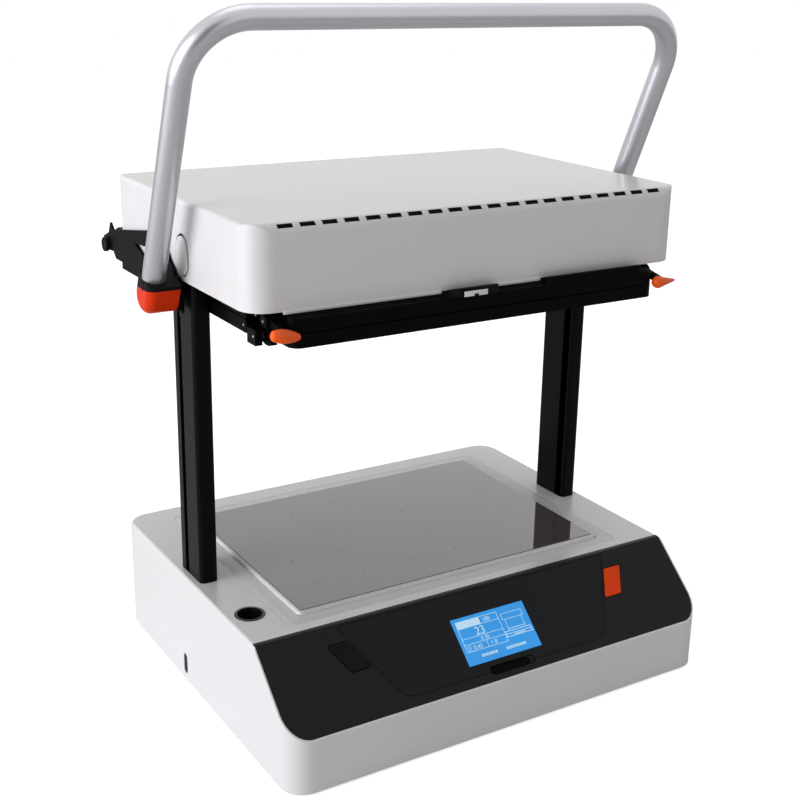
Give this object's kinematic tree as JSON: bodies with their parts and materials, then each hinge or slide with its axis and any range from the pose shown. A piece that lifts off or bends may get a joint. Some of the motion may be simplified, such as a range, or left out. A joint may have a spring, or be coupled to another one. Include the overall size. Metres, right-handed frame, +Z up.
{
  "type": "vacuum forming machine",
  "caption": "Desktop vacuum forming machine with a boxed base, forming bed, slotted columns, heater hood, sheet clamp frames, front latches and a swinging lift handle.",
  "frame": {"origin": "on the table, under the middle of the base", "axes": "+X to the machine's right seen from the front, +Y to the back, +Z up"},
  "size_m": [0.4676, 0.363, 0.5731],
  "materials": {
    "white_metal": "gloss",
    "white_plastic": "gloss",
    "black_panel": "satin",
    "black_plastic": "matte",
    "black_metal": "satin",
    "frame_metal": "satin",
    "screen": "gloss",
    "board": "matte",
    "bed": "gloss",
    "orange": "gloss",
    "key_black": "satin",
    "bare_aluminium": "satin",
    "steel": "satin",
    "bright_steel": "polished",
    "floor_sheet": "satin",
    "motor_paint": "satin",
    "rubber": "matte",
    "silicone": "matte",
    "reflector": "polished",
    "fibre_board": "matte",
    "element": "matte",
    "holder": "matte",
    "brass": "satin",
    "bush": "satin"
  },
  "bodies": {
    "base": {"base_shell": "white_metal", "base_plate": "floor_sheet", "rubber_feet": "rubber", "control_fascia": "black_panel", "screen_cover": "black_panel", "screen_module": "screen", "control_board": "board", "start_switch": "black_plastic", "power_switch": "black_plastic", "bed_plate": "bed", "vacuum_tray": "bare_aluminium", "vacuum_motor": "motor_paint", "suction_boot": "rubber", "port_cup": "black_plastic", "power_supply": "bare_aluminium", "mains_inlet": "black_plastic", "inlet_blades": "brass", "fan_housing": "black_plastic", "left_column": "black_metal", "right_column": "black_metal", "column_clamps": "bare_aluminium", "hood_brackets": "steel", "heater_hood": "white_metal", "hood_side_plugs": "white_plastic", "heater_reflector": "reflector", "insulation_board": "fibre_board", "heating_elements": "element", "element_holders": "holder", "heater_guard": "steel", "heat_sensor": "brass"},
    "carriage": {"upper_clamp_frame": "frame_metal", "front_catch": "black_plastic", "catch_plate": "bright_steel", "left_slider": "frame_metal", "right_slider": "frame_metal", "slider_bushes": "bush", "pivot_pins": "steel", "hinge_pins": "black_plastic", "latch_pivots": "bright_steel"},
    "handle": {"handle_tube": "bare_aluminium", "left_handle_socket": "black_plastic", "right_handle_socket": "black_plastic", "left_end_cap": "orange", "right_end_cap": "orange"},
    "lower_clamp": {"lower_clamp_frame": "frame_metal", "clamp_seals": "silicone", "keeper_pins": "bright_steel"},
    "left_latch": {"left_latch_lever": "frame_metal", "left_latch_grip": "orange"},
    "right_latch": {"right_latch_lever": "frame_metal", "right_latch_grip": "orange"},
    "power_rocker_body": {"power_rocker": "orange"},
    "start_key_body": {"start_key": "key_black"},
    "fan_wheel": {"fan_rotor": "black_plastic"}
  },
  "joints": [
    {"name": "carriage_slide", "type": "slide", "parent": "base", "child": "carriage", "axis": [0, 0, -1], "range_m": [0, 0.2305]},
    {"name": "handle_swing", "type": "hinge", "parent": "carriage", "child": "handle", "pos_m": [0, 0.027, 0.3505], "axis": [1, 0, 0], "range_deg": [0, 65.1]},
    {"name": "lower_clamp_hinge", "type": "hinge", "parent": "carriage", "child": "lower_clamp", "pos_m": [0, 0.182, 0.36], "axis": [-1, 0, 0], "range_deg": [-40, 0]},
    {"name": "left_latch_pivot", "type": "hinge", "parent": "carriage", "child": "left_latch", "pos_m": [-0.1785, -0.088, 0.3515], "axis": [-1, 0, 0], "range_deg": [0, 24]},
    {"name": "right_latch_pivot", "type": "hinge", "parent": "carriage", "child": "right_latch", "pos_m": [0.1785, -0.088, 0.3515], "axis": [-1, 0, 0], "range_deg": [0, 24]},
    {"name": "power_rocker_tilt", "type": "hinge", "parent": "base", "child": "power_rocker_body", "pos_m": [0.13355, -0.12791, 0.08092], "axis": [1, 0, 0], "range_deg": [-7, 7]},
    {"name": "start_key_press", "type": "slide", "parent": "base", "child": "start_key_body", "axis": [0, 0.6606, -0.7507], "range_m": [0, 0.0012], "stiffness_N_per_m": 400, "springref_m": -0.0005},
    {"name": "fan_spin", "type": "hinge", "parent": "base", "child": "fan_wheel", "pos_m": [0.105, 0.16, 0.046], "axis": [0, 1, 0], "continuous": true}
  ],
  "couplings": [
    {"joint": "handle_swing", "follows": "carriage_slide", "rad_per_m": 4.92}
  ]
}
